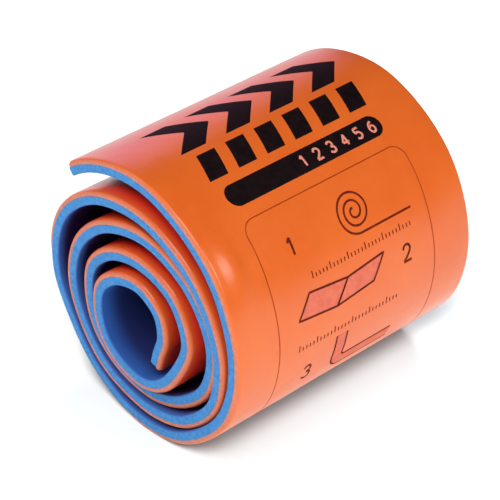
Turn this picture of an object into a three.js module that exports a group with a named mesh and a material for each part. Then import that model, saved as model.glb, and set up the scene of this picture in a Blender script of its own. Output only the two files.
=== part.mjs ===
// A moldable splint: two foam sheets bonded face to face into one long strip and rolled up, lying on its side.
// Millimetres, +Z up. The roll's axis is Y and the end that shows the spiral is at -Y.
// The strip starts at its inner tip in the middle of the roll and winds outward, counterclockwise seen from -Y.
import * as THREE from 'three';

// The strip laid flat
const stripLength = 914.4;
const stripWidth = 107.95;
const innerFoam = 3.0;
const outerFoam = 1.75;
const bondGap = 0.2;
const stripThickness = innerFoam + bondGap + outerFoam;

// How it is rolled
const hubRadius = 18.5;
const leastAir = 0.08;
const restSquash = 0.3;

// How finely it is cut into flat facets
const facets = 380;
const curveSamples = 4000;
const stepsPastEnd = 8;

/**
 * The roll's shape, a row for each direction round it, in degrees counterclockwise from +X, seen from -Y.
 * hub: how far the first turn stands from the middle of the hole, as a share of hubRadius.
 * second, third, fourth: the air between that turn and the one inside it, as a share of the strip's thickness.
 * Turns past the fourth lie close, with leastAir.
 */
const ROLL = [
  { at: -40, hub: 0.72, second: 0.24, third: 0.61, fourth: 0.28 },
  { at: -10, hub: 0.66, second: 1.06, third: 1.24, fourth: 0.37 },
  { at: 20, hub: 0.84, second: 1.75, third: 1.08, fourth: 0.08 },
  { at: 50, hub: 1.09, second: 1.42, third: 0.91, fourth: 0.40 },
  { at: 80, hub: 1.22, second: 0.79, third: 1.13, fourth: 0.72 },
  { at: 110, hub: 1.18, second: 0.64, third: 0.95, fourth: 1.03 },
  { at: 140, hub: 1.09, second: 0.56, third: 0.74, fourth: 1.20 },
  { at: 170, hub: 0.93, second: 0.39, third: 0.78, fourth: 0.79 },
  { at: 200, hub: 0.84, second: 0.28, third: 0.40, fourth: 0.21 },
  { at: 230, hub: 0.81, second: 0.08, third: 0.35, fourth: 0.21 },
  { at: 260, hub: 0.83, second: 0.08, third: 0.15, fourth: 0.48 },
  { at: 290, hub: 0.94, second: 0.22, third: 0.09, fourth: 0.45 },
];
const AIR_COLUMNS = ['second', 'third', 'fourth'];

/**
 * How far the free end springs off the roll, as a share of the strip's thickness, on top of the air.
 * back: the distance from the free end, as a share of the strip's length. Below 0 a row only guides the curve.
 */
const FREE_END = [
  { back: -0.02, lift: 0.85 },
  { back: 0.03, lift: 1.05 },
  { back: 0.06, lift: 1.25 },
  { back: 0.09, lift: 0.92 },
  { back: 0.12, lift: 0.41 },
  { back: 0.15, lift: 0.11 },
  { back: 0.18, lift: 0.02 },
  { back: 0.21, lift: 0.00 },
];

/**
 * How far each sheet's edges have slid toward +Y along the roll, as a share of the strip's thickness.
 * along: the share of the strip's length, from the inner tip.
 */
const SLIDE = [
  { along: 0.00, inner: 0.13, outer: 0.13 },
  { along: 0.06, inner: -0.29, outer: -0.29 },
  { along: 0.12, inner: -0.25, outer: -0.25 },
  { along: 0.18, inner: -0.06, outer: -0.06 },
  { along: 0.26, inner: 0.17, outer: 0.17 },
  { along: 0.31, inner: 0.45, outer: 0.45 },
  { along: 0.35, inner: 0.16, outer: 0.16 },
  { along: 0.41, inner: -0.03, outer: -0.03 },
  { along: 0.47, inner: 0.18, outer: 0.18 },
  { along: 0.56, inner: -0.14, outer: -0.14 },
  { along: 0.64, inner: -0.29, outer: -0.29 },
  { along: 0.71, inner: 0.11, outer: 0.14 },
  { along: 0.74, inner: 0.14, outer: 0.50 },
  { along: 0.77, inner: 0.11, outer: 0.47 },
  { along: 0.80, inner: 0.06, outer: 0.08 },
  { along: 0.84, inner: -0.35, outer: -0.35 },
  { along: 0.88, inner: -0.13, outer: -0.13 },
  { along: 0.94, inner: -0.19, outer: -0.19 },
  { along: 1.00, inner: 0.27, outer: 0.27 },
];

/** The value of a table's column at x, blended by a half cosine between its two nearest rows. */
function fromTable(rows, key, column, x) {
  const next = rows.findIndex((row) => row[key] >= x);
  if (next <= 0) return rows[next < 0 ? rows.length - 1 : 0][column];
  const [a, b] = [rows[next - 1], rows[next]];
  const share = (1 - Math.cos((Math.PI * (x - a[key])) / (b[key] - a[key]))) / 2;
  return THREE.MathUtils.lerp(a[column], b[column], share);
}

/**
 * The line between the two sheets, in the plane across the roll: a smooth curve through one point for each direction
 * of each turn. A turn's distance from the middle is that of the turn inside it, plus the strip and the air between.
 */
function seamCurve() {
  const step = THREE.MathUtils.degToRad(ROLL[1].at - ROLL[0].at);
  const distances = [];
  const points = [];
  let length = 0;
  while (length < stripLength + stepsPastEnd * step * hubRadius) {
    const index = points.length;
    const row = ROLL[index % ROLL.length];
    const inside = index - ROLL.length;
    const air = Math.max(row[AIR_COLUMNS[Math.floor(inside / ROLL.length)]] ?? leastAir, leastAir);
    let distance = inside < 0 ? row.hub * hubRadius : distances[inside] + stripThickness * (1 + air);
    const back = 1 - (length + distance * step) / stripLength;
    distance += stripThickness * fromTable(FREE_END, 'back', 'lift', back);
    const angle = THREE.MathUtils.degToRad(row.at);
    distances.push(distance);
    points.push(new THREE.Vector3(distance * Math.cos(angle), 0, distance * Math.sin(angle)));
    if (index > 0) length += points[index].distanceTo(points[index - 1]);
  }
  const curve = new THREE.CatmullRomCurve3(points, false, 'centripetal');
  curve.arcLengthDivisions = curveSamples;
  return curve;
}

/** One station on the strip: its place on the seam, and the direction square to it that points out of the roll. */
function stationAt(curve, along) {
  const u = (along * stripLength) / curve.getLength();
  const tangent = curve.getTangentAt(u);
  return { along, seam: curve.getPointAt(u), out: new THREE.Vector3(tangent.z, 0, -tangent.x) };
}

/**
 * A closed sheet that follows the seam at two heights from it, low and high, counted outward.
 * Each station gives four corners: low and high at the near edge, then high and low at the far edge.
 */
function sheet(stations, low, high, slideColumn, floor) {
  const corners = stations.flatMap(({ along, seam, out }) => {
    const slide = fromTable(SLIDE, 'along', slideColumn, along) * stripThickness;
    const [near, far] = [slide - stripWidth / 2, slide + stripWidth / 2];
    return [[low, near], [high, near], [high, far], [low, far]].map(([height, y]) => {
      const p = seam.clone().addScaledVector(out, height);
      return new THREE.Vector3(p.x, y, Math.max(p.z, floor));
    });
  });
  const faces = [];
  const quad = (a, b, c, d) => faces.push(a, b, c, a, c, d);
  for (let i = 0; i < stations.length - 1; i += 1) {
    for (let side = 0; side < 4; side += 1) {
      const after = (side + 1) % 4;
      quad(4 * i + side, 4 * i + after, 4 * i + 4 + after, 4 * i + 4 + side);
    }
  }
  const last = 4 * (stations.length - 1);
  quad(3, 2, 1, 0);
  quad(last, last + 1, last + 2, last + 3);
  const geometry = new THREE.BufferGeometry().setFromPoints(corners);
  geometry.setIndex(faces);
  return geometry;
}

function foamMesh(name, geometry, color) {
  const mesh = new THREE.Mesh(geometry, new THREE.MeshStandardMaterial({ color, roughness: 0.6, metalness: 0 }));
  mesh.name = name;
  return mesh;
}

const seam = seamCurve();
const stations = Array.from({ length: facets + 1 }, (_, i) => stationAt(seam, i / facets));
const innerSkin = -bondGap / 2 - innerFoam;
const outerSkin = bondGap / 2 + outerFoam;

// The outer sheet is pressed flat where the roll rests.
const skinHeights = stations.map(({ seam: p, out }) => p.z + out.z * outerSkin);
const floor = Math.min(...skinHeights) + restSquash;
const outer = sheet(stations, bondGap / 2, outerSkin, 'outer', floor);
const inner = sheet(stations, innerSkin, -bondGap / 2, 'inner', floor);

// That flat is set at z = 0, and the middle of the whole at x = 0 and y = 0.
const box = new THREE.Box3().setFromArray([...outer.attributes.position.array, ...inner.attributes.position.array]);
const middle = box.getCenter(new THREE.Vector3());
for (const geometry of [outer, inner]) geometry.translate(-middle.x, -middle.y, -floor);

const splint = new THREE.Group();
splint.name = 'moldable_splint';
splint.add(foamMesh('foam_outer', outer, 0xea6a2c), foamMesh('foam_inner', inner, 0x3f8fdc));

export default splint;
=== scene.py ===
# A moldable splint: two foam sheets bonded face to face into one long strip and rolled up, on its side.
# Metres, +Z up. The roll's axis is Y and the end that shows the spiral is at -Y.
import math

import bpy
import numpy as np
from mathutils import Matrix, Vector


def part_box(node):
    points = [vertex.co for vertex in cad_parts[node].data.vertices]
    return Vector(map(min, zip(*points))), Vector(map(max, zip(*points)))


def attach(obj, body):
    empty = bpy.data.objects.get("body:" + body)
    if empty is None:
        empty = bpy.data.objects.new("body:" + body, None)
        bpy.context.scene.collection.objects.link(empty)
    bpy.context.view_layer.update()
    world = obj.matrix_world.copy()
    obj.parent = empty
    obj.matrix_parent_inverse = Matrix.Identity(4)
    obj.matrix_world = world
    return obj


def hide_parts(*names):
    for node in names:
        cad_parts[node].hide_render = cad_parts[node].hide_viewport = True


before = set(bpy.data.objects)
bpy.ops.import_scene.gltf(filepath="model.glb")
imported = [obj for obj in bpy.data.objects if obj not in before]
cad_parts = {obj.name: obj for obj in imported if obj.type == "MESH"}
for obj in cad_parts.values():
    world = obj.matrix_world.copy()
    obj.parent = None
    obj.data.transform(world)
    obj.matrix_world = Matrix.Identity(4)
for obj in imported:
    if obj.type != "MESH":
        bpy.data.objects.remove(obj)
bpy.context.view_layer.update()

# The strip, rolled up.
# It is cut 36 inches long, wound outward from its inner tip, counterclockwise seen from -Y, and its free
# end has sprung off the roll. The seam, the line between its two sheets, carries every other shape.
STRIP_LENGTH = 0.9144
STRIP_WIDTH = 0.10795
INNER_FOAM = 0.0030
OUTER_FOAM = 0.00175
BOND_GAP = 0.0002
STRIP_THICKNESS = INNER_FOAM + BOND_GAP + OUTER_FOAM
HUB_RADIUS = 0.0185
LEAST_AIR = 0.08
REST_SQUASH = 0.0003
STEPS_PAST_END = 8
PLACES_PER_STRETCH = 240

# A row for each direction round the roll, in degrees counterclockwise from +X, seen from -Y.
# hub: how far the first turn stands from the middle, as a share of HUB_RADIUS.
# second, third, fourth: the air between that turn and the one inside it, as a share of the strip's
# thickness.
ROLL = [
    dict(at=-40, hub=0.72, second=0.24, third=0.61, fourth=0.28),
    dict(at=-10, hub=0.66, second=1.06, third=1.24, fourth=0.37),
    dict(at=20, hub=0.84, second=1.75, third=1.08, fourth=0.08),
    dict(at=50, hub=1.09, second=1.42, third=0.91, fourth=0.40),
    dict(at=80, hub=1.22, second=0.79, third=1.13, fourth=0.72),
    dict(at=110, hub=1.18, second=0.64, third=0.95, fourth=1.03),
    dict(at=140, hub=1.09, second=0.56, third=0.74, fourth=1.20),
    dict(at=170, hub=0.93, second=0.39, third=0.78, fourth=0.79),
    dict(at=200, hub=0.84, second=0.28, third=0.40, fourth=0.21),
    dict(at=230, hub=0.81, second=0.08, third=0.35, fourth=0.21),
    dict(at=260, hub=0.83, second=0.08, third=0.15, fourth=0.48),
    dict(at=290, hub=0.94, second=0.22, third=0.09, fourth=0.45),
]
AIR_COLUMNS = ("second", "third", "fourth")

# How far the free end springs off the roll, as a share of the strip's thickness, on top of the air.
# back: the distance from the free end, as a share of the strip's length. A row below 0 guides the curve.
FREE_END = [
    dict(back=-0.02, lift=0.85),
    dict(back=0.03, lift=1.05),
    dict(back=0.06, lift=1.25),
    dict(back=0.09, lift=0.92),
    dict(back=0.12, lift=0.41),
    dict(back=0.15, lift=0.11),
    dict(back=0.18, lift=0.02),
    dict(back=0.21, lift=0.00),
]

# How far each sheet's edges have slid toward +Y along the roll, as a share of the strip's thickness.
SLIDE = [
    dict(along=0.00, inner=0.13, outer=0.13),
    dict(along=0.06, inner=-0.29, outer=-0.29),
    dict(along=0.12, inner=-0.25, outer=-0.25),
    dict(along=0.18, inner=-0.06, outer=-0.06),
    dict(along=0.26, inner=0.17, outer=0.17),
    dict(along=0.31, inner=0.45, outer=0.45),
    dict(along=0.35, inner=0.16, outer=0.16),
    dict(along=0.41, inner=-0.03, outer=-0.03),
    dict(along=0.47, inner=0.18, outer=0.18),
    dict(along=0.56, inner=-0.14, outer=-0.14),
    dict(along=0.64, inner=-0.29, outer=-0.29),
    dict(along=0.71, inner=0.11, outer=0.14),
    dict(along=0.74, inner=0.14, outer=0.50),
    dict(along=0.77, inner=0.11, outer=0.47),
    dict(along=0.80, inner=0.06, outer=0.08),
    dict(along=0.84, inner=-0.35, outer=-0.35),
    dict(along=0.88, inner=-0.13, outer=-0.13),
    dict(along=0.94, inner=-0.19, outer=-0.19),
    dict(along=1.00, inner=0.27, outer=0.27),
]


def from_table(rows, key, column, x):
    """The value of a table's column at x: a half cosine between the two nearest rows, and the last row's
    value past it."""
    keys = [row[key] for row in rows]
    values = np.array([row[column] for row in rows])
    place = np.interp(x, keys, np.arange(len(rows)))
    row = np.minimum(np.floor(place).astype(int), len(rows) - 2)
    share = (1 - np.cos(np.pi * (place - row))) / 2
    return values[row] + (values[row + 1] - values[row]) * share


def smooth_line(points, places):
    """A line through the points, with this many places to a stretch. A stretch is a cubic in the share of
    its way, whose slopes at both ends are those of the parabolas through the neighbours, timed by the
    roots of the gaps."""
    ends = np.vstack([2 * points[:1] - points[1:2], points, 2 * points[-1:] - points[-2:-1]])[:, None, :]
    p0, p1, p2, p3 = ends[:-3], ends[1:-2], ends[2:-1], ends[3:]
    gap = np.sqrt(np.linalg.norm(np.diff(ends, axis=0), axis=2))[:, :, None]
    before, here, after = gap[:-2], gap[1:-1], gap[2:]
    leave = ((p1 - p0) / before - (p2 - p0) / (before + here) + (p2 - p1) / here) * here
    arrive = ((p2 - p1) / here - (p3 - p1) / (here + after) + (p3 - p2) / after) * here
    w = np.linspace(0, 1, places, endpoint=False)[None, :, None]
    square = 3 * (p2 - p1) - 2 * leave - arrive
    cube = 2 * (p1 - p2) + leave + arrive
    line = p1 + w * leave + w**2 * square + w**3 * cube
    return np.vstack([line.reshape(-1, points.shape[1]), points[-1:]])


def seam_points():
    """One point for each direction of each turn. Its distance from the middle is that of the turn inside
    it, plus the strip, the air between and the free end's lift."""
    step = math.radians(ROLL[1]["at"] - ROLL[0]["at"])
    distances, points, length = [], [], 0.0
    while length < STRIP_LENGTH + STEPS_PAST_END * step * HUB_RADIUS:
        row = ROLL[len(points) % len(ROLL)]
        inside = len(points) - len(ROLL)
        if inside < 0:
            distance = row["hub"] * HUB_RADIUS
        else:
            turn = inside // len(ROLL)
            air = row[AIR_COLUMNS[turn]] if turn < len(AIR_COLUMNS) else LEAST_AIR
            distance = distances[inside] + STRIP_THICKNESS * (1 + max(air, LEAST_AIR))
        back = 1 - (length + distance * step) / STRIP_LENGTH
        distance += STRIP_THICKNESS * float(from_table(FREE_END, "back", "lift", back))
        distances.append(distance)
        at = math.radians(row["at"])
        points.append((distance * math.cos(at), distance * math.sin(at)))
        if len(points) > 1:
            length += math.dist(points[-1], points[-2])
    return np.array(points)


seam = smooth_line(seam_points(), PLACES_PER_STRETCH)
seam_along = np.append(0, np.cumsum(np.linalg.norm(np.diff(seam, axis=0), axis=1)))
heading = np.gradient(seam, seam_along, axis=0)
heading /= np.linalg.norm(heading, axis=1)[:, None]
seam_out = np.stack([heading[:, 1], -heading[:, 0]], axis=1)

# The roll stands where the built one does: on z = 0, with its outer sheet's middle at the same x and y.
kept = seam_along <= STRIP_LENGTH
outer_skin = (seam + seam_out * (BOND_GAP / 2 + OUTER_FOAM))[kept]
outer_slide = from_table(SLIDE, "along", "outer", seam_along[kept] / STRIP_LENGTH) * STRIP_THICKNESS
low_corner, high_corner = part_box("foam_outer")
seam[:, 0] += (low_corner.x + high_corner.x) / 2 - (outer_skin[:, 0].min() + outer_skin[:, 0].max()) / 2
seam[:, 1] -= outer_skin[:, 1].min() + REST_SQUASH
middle_y = (low_corner.y + high_corner.y) / 2 - (outer_slide.min() + outer_slide.max()) / 2

# The foam isn't quite even: shallow waves run over it, deeper where the free end is slack.
# length: from crest to crest along the strip. lean: how many crests it moves by across the strip.
WAVES = [
    dict(length=0.083, lean=0.35, height=0.000040, start=0.10),
    dict(length=0.047, lean=-0.60, height=0.000030, start=0.55),
    dict(length=0.029, lean=1.20, height=0.000016, start=0.80),
]
WAVE_WHERE_WOUND = 0.30
WAVE_WHERE_SLACK = 1.60
SLACK_LENGTH = 0.130

# A soft swell near the near edge of the free end, as a thumb leaves when it presses down beside it.
SWELL_BACK = 0.080
SWELL_ACROSS = 0.0080
SWELL_LONG = 0.0200
SWELL_WIDE = 0.0058
SWELL_HEIGHT = 0.0008


def waves(along, across):
    """The sum of a few slanted sines, times a factor that grows by a half cosine over the slack free end,
    and the swell, a half cosine both ways."""
    slack = (1 + np.cos(np.pi * np.clip((STRIP_LENGTH - along) / SLACK_LENGTH, 0, 1))) / 2
    total = 0.0
    for wave in WAVES:
        turn = along / wave["length"] + wave["lean"] * across / STRIP_WIDTH + wave["start"]
        total = total + wave["height"] * np.sin(2 * np.pi * turn)
    long = np.clip((STRIP_LENGTH - along - SWELL_BACK) / SWELL_LONG, -1, 1)
    wide = np.clip((across - SWELL_ACROSS) / SWELL_WIDE, -1, 1)
    swell = SWELL_HEIGHT * (1 + np.cos(np.pi * long)) * (1 + np.cos(np.pi * wide)) / 4
    return total * (WAVE_WHERE_WOUND + (WAVE_WHERE_SLACK - WAVE_WHERE_WOUND) * slack) + swell


def strip_points(along, across, height, slide_column):
    """Places on the strip: along it from the inner tip, across it from the near edge, and height out of
    the seam. A place is the seam's point, moved by its height and the waves square to the seam, and
    pressed flat at z = 0."""
    out = height + waves(along, across)
    x = np.interp(along, seam_along, seam[:, 0]) + out * np.interp(along, seam_along, seam_out[:, 0])
    z = np.interp(along, seam_along, seam[:, 1]) + out * np.interp(along, seam_along, seam_out[:, 1])
    slide = from_table(SLIDE, "along", slide_column, along / STRIP_LENGTH) * STRIP_THICKNESS
    y = middle_y + slide + across - STRIP_WIDTH / 2
    return np.stack(np.broadcast_arrays(x, y, np.maximum(z, 0)), axis=-1)


# The blue sheet, on the inside of every turn.
# Closed-cell foam about 3 mm thick with a smooth satin skin, cut through at its edges, where the open
# cells show paler and matt. It is bonded to the orange sheet all over.
FOAM_STEP = 0.00085
BLUE_EDGE_ROUND = 0.00060
BOND_EDGE_ROUND = 0.00006
HALF_BOND = 0.000012
EDGE_BULGE = 0.00005
CORNER_POINTS = 7
NEAR_EDGE_BAND = 0.0172
POINTS_NEAR_EDGE = 13
POINTS_ACROSS = 10
CUT_FADE = 6
BLUE_TIP_SHORT = 0.0011
# The share of the painted shade that is taken off at the cut edges.
UNSHADED_AT_EDGE = 0.85

# What varies over the foam: how many of each there are to a metre, and how strongly it shows.
CLOUDS_PER_METRE = 38
RIPPLES_PER_METRE = 95
SPECKLES_PER_METRE = 900
CELLS_PER_METRE = 1500
GRAINS_PER_METRE = 2600
CLOUD_CONTRAST = 1.6
SPECKLE_CONTRAST = 2.2
NOISE_MIDDLE = 0.5
GRAIN_HEIGHT = 0.5
RIPPLE_HEIGHT = 4.0
FOAM_RELIEF = 0.00012
FOAM_RELIEF_SHOWN = 0.5
FOAM_GLOSS = 0.44
CLOUD_ROUGHNESS = 0.10
CUT_ROUGHNESS = 0.85

BLUE_SKIN_ROUGHNESS = 0.42
BLUE_SKIN_DEEP = (0.030, 0.130, 0.500)
BLUE_SKIN_LIGHT = (0.050, 0.190, 0.620)
# Painted shade: the near-black blue the skin is blended toward in the hole and between the turns.
BLUE_SKIN_PAINTED_SHADE = (0.013, 0.006, 0.068)
BLUE_CUT_DEEP = (0.030, 0.178, 0.480)
BLUE_CUT_LIGHT = (0.062, 0.294, 0.630)

# Painted shade on each sheet's skin deep in the roll, as a share: there the skin's colour is blended
# toward a darker colour that stands in for the shade in the hole and in the gaps between the turns.
# inner_reach, outer_reach: how far in from the cut edges the full share is met, as a share of the
# strip's width.
PAINTED_SHADE_SHARE = [
    dict(along=0.000, inner=0.87, outer=1.00, inner_reach=0.088, outer_reach=0.044),
    dict(along=0.100, inner=0.87, outer=1.00, inner_reach=0.088, outer_reach=0.044),
    dict(along=0.150, inner=1.00, outer=1.00, inner_reach=0.040, outer_reach=0.040),
    dict(along=0.655, inner=1.00, outer=1.00, inner_reach=0.040, outer_reach=0.040),
    dict(along=0.690, inner=1.00, outer=0.00, inner_reach=0.040, outer_reach=0.040),
    dict(along=0.967, inner=1.00, outer=0.00, inner_reach=0.040, outer_reach=0.040),
    dict(along=1.000, inner=0.00, outer=0.00, inner_reach=0.040, outer_reach=0.040),
]


class Number:
    """A shader value that takes part in sums: each operator adds its Math node."""

    def __init__(self, finish, socket):
        self.finish = finish
        self.socket = socket

    def _with(self, operation, first, second):
        return self.finish.add("Math", {"operation": operation}, {0: first, 1: second}).number(0)

    def __add__(self, other):
        return self._with("ADD", self, other)

    __radd__ = __add__

    def __sub__(self, other):
        return self._with("SUBTRACT", self, other)

    def __rsub__(self, other):
        return self._with("SUBTRACT", other, self)

    def __mul__(self, other):
        return self._with("MULTIPLY", self, other)

    __rmul__ = __mul__

    def spread(self, contrast):
        """The same value, pushed away from a half."""
        return self * contrast + (1 - contrast) / 2


class Made:
    """A node that was added, and its outputs."""

    def __init__(self, finish, node):
        self.finish = finish
        self.node = node

    def number(self, output):
        return Number(self.finish, self.node.outputs[output])

    def colour(self, output):
        return self.node.outputs[output]


class Finish:
    """The nodes of a material or of the room. add() makes any node from its type, its settings and what
    its sockets take."""

    def __init__(self, owner):
        self.owner = owner
        self.owner.use_nodes = True
        self.tree = self.owner.node_tree
        self.tree.nodes.clear()

    def add(self, kind, settings, sockets):
        node = self.tree.nodes.new("ShaderNode" + kind)
        for name, value in settings.items():
            setattr(node, name, value)
        for name, value in sockets.items():
            link = value.socket if isinstance(value, Number) else value
            if isinstance(link, bpy.types.NodeSocket):
                self.tree.links.new(link, node.inputs[name])
            else:
                node.inputs[name].default_value = link
        return Made(self, node)

    def noise(self, scale, detail):
        """Cloudy noise on the object's own coordinates, as a value from about 0 to 1."""
        where = self.add("TexCoord", {}, {}).colour("Object")
        return self.add("TexNoise", {}, {"Vector": where, "Scale": scale, "Detail": detail}).number(0)

    def cells(self, scale):
        """The distance to the nearest of many loose points, as foam cells that were cut open."""
        where = self.add("TexCoord", {}, {}).colour("Object")
        return self.add("TexVoronoi", {}, {"Vector": where, "Scale": scale}).number(0)

    def mix(self, share, first, second):
        """A colour between two colours."""
        settings = {"data_type": "RGBA", "clamp_factor": True}
        whole = [c if isinstance(c, bpy.types.NodeSocket) else (*c, 1) for c in (first, second)]
        return self.add("Mix", settings, {0: share, 6: whole[0], 7: whole[1]}).colour(2)

    def bump(self, height, depth, strength):
        """A normal that leans as a surface of this height would, where a height of 1 is this deep."""
        return self.add("Bump", {}, {"Height": height, "Distance": depth, "Strength": strength}).colour(0)

    def close(self, sockets):
        """The shader itself, with what its sockets take, and the finished material."""
        shader = self.add("BsdfPrincipled", {}, sockets)
        self.add("OutputMaterial", {}, {"Surface": shader.colour(0)})
        return self.owner


def foam_finish(name, skin_deep, skin_light, skin_painted_shade, cut_deep, cut_light, skin_rough):
    """Closed-cell foam. On the skin, broad clouds of colour, a fine grain, shallow ripples and a satin
    gloss. Where the attribute called inside is 1, a painted shade: a darker, deeper-coloured skin that
    stands in for the shade deep in the roll. Where the one called cut is 1, a paler matt face with speckled
    colour and small open cells."""
    foam = Finish(bpy.data.materials.new(name))
    cut = foam.add("Attribute", {"attribute_name": "cut"}, {}).number("Fac")
    inside = foam.add("Attribute", {"attribute_name": "inside"}, {}).number("Fac")
    clouds = foam.noise(CLOUDS_PER_METRE, detail=3)
    ripples = foam.noise(RIPPLES_PER_METRE, detail=2)
    grain = foam.noise(GRAINS_PER_METRE, detail=2)
    speckle = foam.noise(SPECKLES_PER_METRE, detail=3)
    cells = foam.cells(CELLS_PER_METRE)
    # The skin's own colour, blended toward its painted shade colour where the attribute inside is 1.
    skin = foam.mix(inside, foam.mix(clouds.spread(CLOUD_CONTRAST), skin_deep, skin_light), skin_painted_shade)
    face = foam.mix(speckle.spread(SPECKLE_CONTRAST), cut_deep, cut_light)
    skin_height = (grain - NOISE_MIDDLE) * GRAIN_HEIGHT + (ripples - NOISE_MIDDLE) * RIPPLE_HEIGHT
    height = skin_height * (1 - cut) + (cells + speckle - 1) * cut
    return foam.close({
        "Base Color": foam.mix(cut, skin, face),
        "Roughness": (skin_rough + clouds * CLOUD_ROUGHNESS) * (1 - cut) + cut * CUT_ROUGHNESS,
        "Normal": foam.bump(height, FOAM_RELIEF, FOAM_RELIEF_SHOWN),
        "Specular IOR Level": FOAM_GLOSS,
    })


def swept(points, ring=False):
    """A closed solid's corners and faces from a grid of points: rows along it, and columns once round its
    section. Each end is closed by faces that join column k to the k-th from last. In a ring the last row
    joins the first instead."""
    rows, columns = points.shape[:2]
    index = np.arange(rows * columns).reshape(rows, columns)
    here = index if ring else index[:-1]
    there = np.roll(index, -1, axis=0) if ring else index[1:]
    sides = np.stack([here, np.roll(here, -1, 1), np.roll(there, -1, 1), there], axis=-1).reshape(-1, 4)
    faces = [sides]
    if not ring:
        k = np.arange(columns // 2 - 1)
        cap = np.stack([k, columns - 1 - k, columns - 2 - k, k + 1], axis=-1)
        faces += [cap, cap[:, ::-1] + index[-1, 0]]
    faces = np.concatenate(faces)
    corners = points.reshape(-1, 3)
    a, b, c, d = (corners[faces[:, i]] for i in range(4))
    volume = (np.cross(a, b) * c).sum() + (np.cross(a, c) * d).sum()
    return corners, faces if volume > 0 else faces[:, ::-1]


def piece(name, solids, finish):
    """One object from closed solids, each its corners and faces, put into the mesh whole."""
    starts = np.cumsum([0] + [len(corners) for corners, _ in solids[:-1]])
    corners = np.concatenate([corners for corners, _ in solids])
    faces = np.concatenate([faces + start for (_, faces), start in zip(solids, starts)])
    mesh = bpy.data.meshes.new(name)
    mesh.from_pydata(corners, [], faces)
    mesh.shade_smooth()
    mesh.materials.append(finish)
    obj = bpy.data.objects.new(name, mesh)
    bpy.context.scene.collection.objects.link(obj)
    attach(obj, "root")
    return obj


def sheet_section(skin, bond, edge_round):
    """Once round a sheet's section, from the middle of the near cut edge over the skin to the far edge and
    back along the bond: places across it, heights, and the share of cut face, a power of the corner's
    cosine. Corners are quarter circles, and the flat between two of them stands out a little at its
    thirds."""
    toward_skin = math.copysign(1, skin - bond)
    skin_corner = skin - toward_skin * edge_round
    bond_corner = bond + toward_skin * BOND_EDGE_ROUND

    def half(height, toward, radius, edge_height):
        turn = np.linspace(0, np.pi / 2, CORNER_POINTS)
        corner_across = radius * (1 - np.cos(turn))
        corner_height = height - toward * radius * (1 - np.sin(turn))
        by_edge = np.linspace(radius, NEAR_EDGE_BAND, POINTS_NEAR_EDGE + 1)[1:]
        rest = np.linspace(NEAR_EDGE_BAND, STRIP_WIDTH - radius, POINTS_ACROSS + 2)[1:-1]
        inner = np.append(by_edge, rest)
        near = np.append(-EDGE_BULGE, corner_across)
        rise = np.append(edge_height, corner_height)
        faded = np.append(1, np.cos(turn) ** CUT_FADE)
        across = np.concatenate([near, inner, STRIP_WIDTH - near[::-1]])
        heights = np.concatenate([rise, inner * 0 + height, rise[::-1]])
        return across, heights, np.concatenate([faded, inner * 0, faded[::-1]])

    over = half(skin, toward_skin, edge_round, (2 * skin_corner + bond_corner) / 3)
    under = half(bond, -toward_skin, BOND_EDGE_ROUND, (skin_corner + 2 * bond_corner) / 3)
    return [np.append(a, b[::-1]) for a, b in zip(over, under)]


def foam_sheet(name, skin, bond, edge_round, column, tip_short, finish):
    """A sheet that follows the seam between its skin and its bond. At both ends its section draws in by a
    quarter circle, so that the cut ends are rounded as the cut edges are. Its attribute inside is the share
    of painted shade from its table, times a factor that grows by a half cosine from the cut edges inward,
    so that the painted shade is deepest far from the cut edges."""
    across, height, cut = sheet_section(skin, bond, edge_round)
    turn = np.linspace(0, np.pi / 2, CORNER_POINTS)[:-1]
    ease = edge_round * (1 - np.cos(turn))
    start, end = tip_short, STRIP_LENGTH
    between = np.linspace(start + edge_round, end - edge_round, round(STRIP_LENGTH / FOAM_STEP))
    along = np.concatenate([start + ease, between, (end - ease)[::-1]])[:, None]
    drawn_in = edge_round * (1 - np.sin(turn))
    drawn_in = np.concatenate([drawn_in, between * 0, drawn_in[::-1]])[:, None]
    heights = bond + (height - bond) * (1 - drawn_in / abs(skin - bond))
    places = STRIP_WIDTH / 2 + (across - STRIP_WIDTH / 2) * (1 - 2 * drawn_in / STRIP_WIDTH)
    obj = piece(name, [swept(strip_points(along, places, heights, column))], finish)
    cut_share = np.maximum(cut, drawn_in / edge_round)
    obj.data.attributes.new("cut", "FLOAT", "POINT").data.foreach_set("value", cut_share.ravel())
    reach = from_table(PAINTED_SHADE_SHARE, "along", column + "_reach", along / STRIP_LENGTH) * STRIP_WIDTH
    from_edge = np.clip(np.minimum(places, STRIP_WIDTH - places) / reach, 0, 1)
    # Painted shade: the share of darker colour deep in the roll, faded out toward the cut edges.
    inside = from_table(PAINTED_SHADE_SHARE, "along", column, along / STRIP_LENGTH)
    inside = inside * (1 - UNSHADED_AT_EDGE * (1 + np.cos(np.pi * from_edge)) / 2)
    obj.data.attributes.new("inside", "FLOAT", "POINT").data.foreach_set("value", inside.ravel())
    return obj


blue_foam = foam_finish(
    "blue_foam", BLUE_SKIN_DEEP, BLUE_SKIN_LIGHT, BLUE_SKIN_PAINTED_SHADE, BLUE_CUT_DEEP, BLUE_CUT_LIGHT,
    BLUE_SKIN_ROUGHNESS,
)
blue_sheet = foam_sheet(
    "blue_sheet", -BOND_GAP / 2 - INNER_FOAM, -HALF_BOND, BLUE_EDGE_ROUND, "inner", BLUE_TIP_SHORT,
    blue_foam,
)
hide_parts("foam_inner")

# The orange sheet, on the outside of every turn.
# The same foam, thinner, with a smoother skin that takes the print. Its cut edges are paler and pinkish.
ORANGE_EDGE_ROUND = 0.00140
ORANGE_SKIN_ROUGHNESS = 0.25
ORANGE_SKIN_DEEP = (0.740, 0.122, 0.015)
ORANGE_SKIN_LIGHT = (0.820, 0.158, 0.023)
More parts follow.
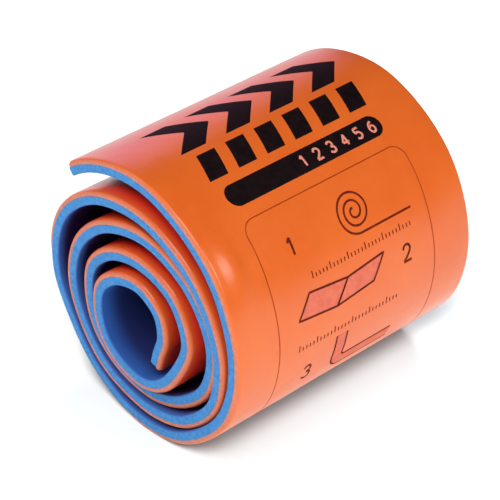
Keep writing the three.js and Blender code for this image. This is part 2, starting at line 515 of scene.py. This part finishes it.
# Painted shade: the deeper red the skin is blended toward where it lies between the turns.
ORANGE_SKIN_PAINTED_SHADE = (0.920, 0.036, 0.015)
ORANGE_CUT_DEEP = (0.540, 0.168, 0.100)
ORANGE_CUT_LIGHT = (0.655, 0.265, 0.185)

orange_foam = foam_finish(
    "orange_foam", ORANGE_SKIN_DEEP, ORANGE_SKIN_LIGHT, ORANGE_SKIN_PAINTED_SHADE, ORANGE_CUT_DEEP,
    ORANGE_CUT_LIGHT, ORANGE_SKIN_ROUGHNESS,
)
orange_sheet = foam_sheet(
    "orange_sheet", BOND_GAP / 2 + OUTER_FOAM, HALF_BOND, ORANGE_EDGE_ROUND, "outer", 0.0, orange_foam
)
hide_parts("foam_outer")

# The heavy black print near the free end.
# Screen-printed ink: a row of wide arrowheads that point along the roll, with a row of slanted blocks
# under it. Places are back from the free end and across from the near edge.
INK_LIFT = 0.000006
INK_DEPTH = 0.000022
INK_STEP = 0.0006
ARROW_ROW = (0.0170, 0.0380)
ARROW_FIRST = 0.0190
ARROW_PITCH = 0.0194
ARROW_COUNT = 4
ARROW_STROKE = 0.0106
ARROW_REACH = 0.0105
BLOCK_ROW = (0.0412, 0.0520)
BLOCK_FIRST = 0.0188
BLOCK_PITCH = 0.0125
BLOCK_COUNT = 6
BLOCK_WIDTH = 0.0078
BLOCK_SLANT = 0.0036
INK_CLOUDS_PER_METRE = 420
INK_CLOUD_CONTRAST = 2
INK_CLOUD_DROP = 0.7
INK_CLOUD_ROUGHNESS = 0.20
INK_ROUGHNESS = 0.55
INK_GLOSS = 0.06
INK_RELIEF = 0.00008
INK_RELIEF_SHOWN = 0.4
BLACK_INK = (0.0055, 0.0030, 0.0040)
BLACK_INK_THIN = (0.0160, 0.0060, 0.0060)


def ink_finish(name, full, thin):
    """Printed ink: its colour runs a little thin in small clouds, and its gloss is a little uneven."""
    ink = Finish(bpy.data.materials.new(name))
    clouds = ink.noise(INK_CLOUDS_PER_METRE, detail=4)
    return ink.close({
        "Base Color": ink.mix(clouds * INK_CLOUD_CONTRAST - INK_CLOUD_DROP, full, thin),
        "Roughness": clouds * INK_CLOUD_ROUGHNESS + INK_ROUGHNESS,
        "Specular IOR Level": INK_GLOSS,
        "Normal": ink.bump(ink.noise(GRAINS_PER_METRE, detail=2), INK_RELIEF, INK_RELIEF_SHOWN),
    })


def printed(edge_a, edge_b, layer=0, ring=False):
    """A thin closed patch of ink between two edges, each a line of places back and across, laid on the
    skin. It runs straight from edge to edge, in steps as fine as the skin's own curve needs."""
    widest = np.linalg.norm(edge_b - edge_a, axis=1).max()
    share = np.linspace(0, 1, max(2, math.ceil(widest / INK_STEP) + 1))[None, :, None]
    top = edge_a[:, None, :] * (1 - share) + edge_b[:, None, :] * share
    places = np.concatenate([top, top[:, ::-1]], axis=1)
    bottom = BOND_GAP / 2 + OUTER_FOAM + INK_LIFT * (1 + layer) + INK_DEPTH * layer
    height = np.full(places.shape[:2], bottom)
    height[:, : share.size] += INK_DEPTH
    return swept(strip_points(STRIP_LENGTH - places[..., 0], places[..., 1], height, "outer"), ring)


def lane(start, end):
    """Evenly spaced values from start to end, an ink step apart or closer."""
    return np.linspace(start, end, math.ceil(abs(end - start) / INK_STEP) + 1)


def arrowhead(row, across):
    """Two parallel edges that go out to a point half way down the row and come back."""
    back = lane(*row)
    reach = ARROW_REACH * (1 - np.abs(2 * (back - row[0]) / (row[1] - row[0]) - 1))
    edge = np.stack([back, across + reach], axis=1)
    return printed(edge, edge + [0, ARROW_STROKE])


def slanted_block(row, across):
    """Two parallel edges that lean by the slant from the bottom of the row to its top."""
    back = lane(*row)
    lean = BLOCK_SLANT * (row[1] - back) / (row[1] - row[0])
    edge = np.stack([back, across + lean], axis=1)
    return printed(edge, edge + [0, BLOCK_WIDTH])


black_ink = ink_finish("black_ink", BLACK_INK, BLACK_INK_THIN)
arrows = [arrowhead(ARROW_ROW, ARROW_FIRST + i * ARROW_PITCH) for i in range(ARROW_COUNT)]
piece("print_arrows", arrows, black_ink)
blocks = [slanted_block(BLOCK_ROW, BLOCK_FIRST + i * BLOCK_PITCH) for i in range(BLOCK_COUNT)]
piece("print_blocks", blocks, black_ink)

# The black bar with plain numbers.
# A round-ended bar of the same ink, with numbers left open in it, so that the foam's colour shows through.
BAR_ROW = (0.0555, 0.0634)
BAR_ENDS = (0.0195, 0.0885)
BAR_END_TRIM = math.radians(6)
BAR_END_POINTS = 16
NUMBER_HEIGHT = 0.0039
NUMBER_WIDTH = 0.0026
NUMBER_STROKE = 0.00080
NUMBER_FIRST = 0.0520
NUMBER_PITCH = 0.0062
NEXT_STROKE_LAYER = 0.2
OPEN_FOAM = (0.780, 0.240, 0.160)
OPEN_FOAM_LIGHT = (0.860, 0.330, 0.240)
CURVE_PLACES = 8

# The strokes of each number, in a box 1 wide and 1 high. A stroke is a smooth line through its points.
NUMBERS = {
    1: [[(0.15, 0.75), (0.50, 1.00)], [(0.50, 1.00), (0.50, 0.00)]],
    2: [
        [(0.05, 0.75), (0.25, 0.97), (0.75, 0.97), (0.93, 0.72), (0.60, 0.38), (0.05, 0.04)],
        [(0.00, 0.00), (1.00, 0.00)],
    ],
    3: [
        [(0.05, 0.85), (0.35, 1.00), (0.80, 0.92), (0.85, 0.65), (0.45, 0.52)],
        [(0.45, 0.52), (0.90, 0.40), (0.90, 0.12), (0.45, 0.00), (0.03, 0.14)],
    ],
    4: [[(0.70, 1.00), (0.00, 0.30)], [(0.00, 0.30), (1.00, 0.30)], [(0.70, 1.00), (0.70, 0.00)]],
    5: [
        [(0.90, 1.00), (0.15, 1.00)],
        [(0.15, 1.00), (0.10, 0.55)],
        [(0.10, 0.55), (0.60, 0.62), (0.95, 0.32), (0.60, 0.02), (0.03, 0.10)],
    ],
    6: [
        [
            (0.80, 0.97), (0.30, 0.78), (0.05, 0.35), (0.35, 0.01),
            (0.85, 0.10), (0.90, 0.45), (0.50, 0.60), (0.12, 0.42),
        ],
    ],
}


def rounded_bar(row, ends):
    """The two long edges of a bar whose ends are half circles: there the half width follows a circle's
    height."""
    radius = (row[1] - row[0]) / 2
    turn = np.linspace(BAR_END_TRIM, np.pi / 2, BAR_END_POINTS)
    near = ends[0] + radius * (1 - np.cos(turn))
    far = ends[1] - radius * (1 - np.cos(turn[::-1]))
    straight = lane(near[-1], far[0])[1:-1]
    across = np.concatenate([near, straight, far])
    half = radius * np.concatenate([np.sin(turn), straight * 0 + 1, np.sin(turn[::-1])])
    middle = (row[0] + row[1]) / 2
    return np.stack([middle - half, across], axis=1), np.stack([middle + half, across], axis=1)


def stroke(points, width, layer, ring=False):
    """A line of even width: both edges stand half the width from the middle line, square to its own
    direction."""
    if ring:
        direction = np.roll(points, -1, axis=0) - np.roll(points, 1, axis=0)
    else:
        direction = np.gradient(points, axis=0)
    direction /= np.linalg.norm(direction, axis=1)[:, None]
    side = np.stack([-direction[:, 1], direction[:, 0]], axis=1) * width / 2
    return printed(points - side, points + side, layer, ring)


def printed_number(digit, corner, height, width, line, layer):
    """The strokes of a number whose bottom left corner is at this place, read with +Y to the right. Each
    stroke lies a little over the one before."""
    back, across = corner
    solids = []
    for i, points in enumerate(NUMBERS[digit]):
        shape = smooth_line(np.array(points, float), CURVE_PLACES)
        places = np.stack([back - shape[:, 1] * height, across + shape[:, 0] * width], axis=1)
        solids.append(stroke(places, line, layer + i * NEXT_STROKE_LAYER))
    return solids


piece("print_bar", [printed(*rounded_bar(BAR_ROW, BAR_ENDS))], black_ink)
open_foam = ink_finish("open_foam", OPEN_FOAM, OPEN_FOAM_LIGHT)
number_base = (BAR_ROW[0] + BAR_ROW[1]) / 2 + NUMBER_HEIGHT / 2
bar_numbers = []
for place, digit in enumerate(NUMBERS):
    corner = (number_base, NUMBER_FIRST + place * NUMBER_PITCH)
    bar_numbers += printed_number(digit, corner, NUMBER_HEIGHT, NUMBER_WIDTH, NUMBER_STROKE, layer=1)
piece("print_bar_numbers", bar_numbers, open_foam)

# The thin dark red frame and its drawings.
# Fine lines of two more inks, with fills of a pale third: a frame with rounded corners round three plain
# drawings of a strip, rolled, folded and bent, each with a number and a row of ruler marks beside it.
FRAME_BACK = (0.0681, 0.1500)
FRAME_ACROSS = (0.0180, 0.0900)
FRAME_CORNER = 0.0050
FRAME_LINE = 0.00042
FRAME_CORNER_POINTS = 10
FRAME_INK = (0.400, 0.040, 0.008)
FRAME_INK_THIN = (0.520, 0.065, 0.012)
DRAWING_INK = (0.110, 0.010, 0.006)
DRAWING_INK_THIN = (0.240, 0.024, 0.008)
PALE_FILL = (0.700, 0.150, 0.090)
PALE_FILL_LIGHT = (0.800, 0.210, 0.130)
DRAWING_LINE = 0.00075
UNDER_THE_FILL = -0.5
ARC_STEP = 6
ROLLED_BACK = 0.0805
ROLLED_ACROSS = 0.0600
ROLLED_CORE = 0.0009
ROLLED_RADIUS = 0.0074
ROLLED_TURNS = 2.5
ROLLED_POINTS = 90
ROLLED_TAIL = 0.0230
FOLDED_BACK = 0.1010
FOLDED_ACROSS = 0.0440
FOLDED_WIDTH = 0.0340
FOLDED_HEIGHT = 0.0076
FOLDED_LEAN = 0.0060
FOLDED_DIP = 0.45
PANEL_ROWS = 30
BENT_BACK = 0.1275
BENT_ACROSS = 0.0600
BENT_ARM = 0.0130
BENT_RISE = 0.7
BENT_DROP = 0.3
BENT_CORNER = 0.0040
BENT_THICK = 0.0040
STEP_HEIGHT = 0.0056
STEP_WIDTH = 0.0036
STEP_LINE = 0.0009
STEP_NUMBERS = [(0.0840, 0.0300), (0.1045, 0.0755), (0.1300, 0.0310)]
RULER_SHORT = 0.0014
RULER_LONG = 0.0024
RULER_LONG_EACH = 5
RULER_PITCH = 0.0016
RULER_LINE = 0.00045
RULERS = [(0.0935, 0.0360, 29), (0.1160, 0.0270, 29), (0.1430, 0.0380, 29)]


def rounded_frame(back, across, radius):
    """Once round a rectangle: straight lanes, and at each corner a quarter circle."""
    turn = np.linspace(0, np.pi / 2, FRAME_CORNER_POINTS)[1:-1]
    bend = np.stack([np.cos(turn), np.sin(turn)], axis=1) * radius
    (b0, b1), (a0, a1) = back, across
    down = lane(b0 + radius, b1 - radius)
    over = lane(a0 + radius, a1 - radius)
    parts = [
        np.stack([down * 0 + a1, down], axis=1),
        bend + [a1 - radius, b1 - radius],
        np.stack([over[::-1], over * 0 + b1], axis=1),
        bend[::-1] * [-1, 1] + [a0 + radius, b1 - radius],
        np.stack([down * 0 + a0, down[::-1]], axis=1),
        bend * [-1, -1] + [a0 + radius, b0 + radius],
        np.stack([over, over * 0 + b0], axis=1),
        bend[::-1] * [1, -1] + [a1 - radius, b0 + radius],
    ]
    return np.concatenate(parts)[:, ::-1]


def to_strip(shape, back, across):
    """Places on the strip of a drawing whose middle is at this place, from metres to the right and up."""
    shape = np.asarray(shape, float)
    return np.stack([back - shape[:, 1], across + shape[:, 0]], axis=1)


def fine(points):
    """The same line with its straight stretches cut into steps no longer than an ink step."""
    points = np.asarray(points, float)
    stretches = []
    for a, b in zip(points, points[1:]):
        stretches.append(np.linspace(a, b, math.ceil(math.dist(a, b) / INK_STEP) + 1)[:-1])
    return np.concatenate(stretches + [points[-1:]])


def arc(centre, radius, start, end):
    """Part of a circle, from one angle to the other, in degrees counterclockwise from the right."""
    turn = np.radians(np.linspace(start, end, math.ceil(abs(end - start) / ARC_STEP) + 1))
    return np.stack([centre[0] + radius * np.cos(turn), centre[1] + radius * np.sin(turn)], axis=1)


def rolled_drawing():
    """A strip seen from its side, half rolled: a spiral of evenly growing radius, and its straight rest."""
    turn = np.linspace(0, 2 * np.pi * ROLLED_TURNS, ROLLED_POINTS)
    radius = ROLLED_CORE + (ROLLED_RADIUS - ROLLED_CORE) * turn / turn[-1]
    spiral = np.stack([-radius * np.sin(turn), radius * np.cos(turn)], axis=1)
    tail = fine([(0, -ROLLED_RADIUS), (ROLLED_TAIL, -ROLLED_RADIUS)])
    return np.concatenate([spiral[:-1], tail])


def folded_drawing():
    """A strip folded along its middle like a roof, from above: two leaning panels that share the fold,
    which dips by a share of half their height."""
    w, h, lean = FOLDED_WIDTH / 2, FOLDED_HEIGHT / 2, FOLDED_LEAN
    fold_low = (0, -h * (1 + FOLDED_DIP))
    fold_high = (lean, h * (1 - FOLDED_DIP))
    left = [(-w, -h), (-w + lean, h), fold_high, fold_low, (-w, -h)]
    right = [fold_low, fold_high, (w + lean, h), (w, -h), fold_low]
    return left, right


def panel_fill(panel):
    """A patch between a panel's low side and its high side, both taken in even steps."""
    low_start, high_start, high_end, low_end = to_strip(panel[:4], FOLDED_BACK, FOLDED_ACROSS)
    share = np.linspace(0, 1, PANEL_ROWS)[:, None]
    return printed(low_start + (low_end - low_start) * share, high_start + (high_end - high_start) * share)


def bent_drawing():
    """A strip bent square, seen from its side: a thick line down, round a quarter circle and along. It
    rises and drops by shares of its arm."""
    rise, drop = BENT_ARM * BENT_RISE, BENT_ARM * BENT_DROP
    down = [(-BENT_ARM, rise), (-BENT_ARM, -drop + BENT_CORNER)]
    bend = arc((-BENT_ARM + BENT_CORNER, -drop + BENT_CORNER), BENT_CORNER, 180, 270)
    along = [(-BENT_ARM + BENT_CORNER, -drop), (BENT_ARM, -drop)]
    return np.concatenate([fine(down)[:-1], bend, fine(along)[1:]])


def ruler(back, across, count):
    """A row of ruler marks, each fifth one longer."""
    marks = []
    for i in range(count):
        tall = RULER_LONG if i % RULER_LONG_EACH == 0 else RULER_SHORT
        place = across + i * RULER_PITCH
        mark = np.array([(back, place), (back - tall / 2, place), (back - tall, place)])
        marks.append(stroke(mark, RULER_LINE, layer=0))
    return marks


frame_ink = ink_finish("frame_ink", FRAME_INK, FRAME_INK_THIN)
drawing_ink = ink_finish("drawing_ink", DRAWING_INK, DRAWING_INK_THIN)
pale_fill = ink_finish("pale_fill", PALE_FILL, PALE_FILL_LIGHT)
frame_line = rounded_frame(FRAME_BACK, FRAME_ACROSS, FRAME_CORNER)
piece("print_frame", [stroke(frame_line, FRAME_LINE, layer=0, ring=True)], frame_ink)

rolled = to_strip(rolled_drawing(), ROLLED_BACK, ROLLED_ACROSS)
lines = [stroke(rolled, DRAWING_LINE, layer=0)]
fills = []
for panel in folded_drawing():
    outline = to_strip(fine(panel), FOLDED_BACK, FOLDED_ACROSS)
    lines.append(stroke(outline[:-1], DRAWING_LINE, layer=1, ring=True))
    fills.append(panel_fill(panel))
bent = to_strip(bent_drawing(), BENT_BACK, BENT_ACROSS)
fills.append(stroke(bent, BENT_THICK, layer=0))
lines.append(stroke(bent, BENT_THICK + 2 * DRAWING_LINE, UNDER_THE_FILL))
for digit, corner in enumerate(STEP_NUMBERS, start=1):
    lines += printed_number(digit, corner, STEP_HEIGHT, STEP_WIDTH, STEP_LINE, layer=0)
for marks in RULERS:
    lines += ruler(*marks)
piece("print_drawings", lines, drawing_ink)
piece("print_fills", fills, pale_fill)

# The table, the light and the camera.
# A cool grey table that two lamps of its own light white, soft lamps round the camera, a pink one low
# behind the roll for the sheen along its top, and a camera with a long lens.
FLOOR_SIZE = 6.0
FLOOR_COLOUR = (0.25, 0.30, 0.32)
FLOOR_ROUGHNESS = 0.9
ROOM_LIGHT = 0.02
ROOM_SEEN = 1.0
ROOM_WHITE = (1.0, 1.0, 1.0)
WHITE_LIGHT = (1.0, 1.0, 1.0)
PINK_LIGHT = (0.92, 0.45, 0.80)
TABLE_LIGHT = (1.0, 0.85, 0.80)
LAMP_AIM = (0, 0, 0.05)
CAMERA_PLACE = (0.45152, -0.43548, 0.46388)
CAMERA_FACES = (-0.60292, 0.57470, -0.55336)
CAMERA_LENS = 160.5

# turn: degrees counterclockwise from the camera, seen from above. lift: degrees above the floor.
LAMPS = [
    dict(name="right_lamp", turn=50, lift=36, away=1.4, size=0.35, power=7.0, colour=WHITE_LIGHT),
    dict(name="front_lamp", turn=-18, lift=54, away=1.4, size=0.7, power=12.8, colour=WHITE_LIGHT),
    dict(name="end_lamp", turn=-95, lift=35, away=1.4, size=0.7, power=5.0, colour=WHITE_LIGHT),
    dict(name="back_lamp", turn=-160, lift=12, away=1.4, size=0.9, power=4.3, colour=PINK_LIGHT),
]
TABLE_LAMPS = [
    dict(name="front_table_lamp", turn=1, lift=46, away=3.5, size=1.0, power=430.0, colour=TABLE_LIGHT),
    dict(name="back_table_lamp", turn=150, lift=68, away=3.5, size=1.6, power=210.0, colour=TABLE_LIGHT),
]

bpy.ops.mesh.primitive_plane_add(size=FLOOR_SIZE)
floor = bpy.context.object
floor.name = "floor"
floor_finish = Finish(bpy.data.materials.new("floor"))
floor.data.materials.append(floor_finish.close({
    "Base Color": (*FLOOR_COLOUR, 1),
    "Roughness": FLOOR_ROUGHNESS,
}))

# The table lamps light the table alone.
table = bpy.data.collections.new("table")
table.objects.link(floor)
camera_turn = math.atan2(-CAMERA_FACES[1], -CAMERA_FACES[0])
for row in LAMPS + TABLE_LAMPS:
    light = bpy.data.lights.new(row["name"], "AREA")
    light.energy = row["power"]
    light.size = row["size"]
    light.color = row["colour"]
    lamp = bpy.data.objects.new(row["name"], light)
    turn, lift = camera_turn + math.radians(row["turn"]), math.radians(row["lift"])
    way = Vector((math.cos(lift) * math.cos(turn), math.cos(lift) * math.sin(turn), math.sin(lift)))
    lamp.location = Vector(LAMP_AIM) + way * row["away"]
    lamp.rotation_euler = way.to_track_quat("Z", "Y").to_euler()
    bpy.context.scene.collection.objects.link(lamp)
    if row in TABLE_LAMPS:
        lamp.light_linking.receiver_collection = table

# The room is white where the camera sees it, and gives hardly any light itself.
room = Finish(bpy.data.worlds.new("white_room"))
seen = room.add("LightPath", {}, {}).number("Is Camera Ray")
strength = seen * (ROOM_SEEN - ROOM_LIGHT) + ROOM_LIGHT
walls = room.add("Background", {}, {"Color": (*ROOM_WHITE, 1), "Strength": strength})
room.add("OutputWorld", {}, {"Surface": walls.colour(0)})
bpy.context.scene.world = room.owner
bpy.context.scene.view_settings.view_transform = "Standard"

camera = bpy.data.objects.new("camera", bpy.data.cameras.new("camera"))
camera.data.lens = CAMERA_LENS
camera.location = CAMERA_PLACE
camera.rotation_euler = Vector(CAMERA_FACES).to_track_quat("-Z", "Y").to_euler()
bpy.context.scene.collection.objects.link(camera)
bpy.context.scene.camera = camera
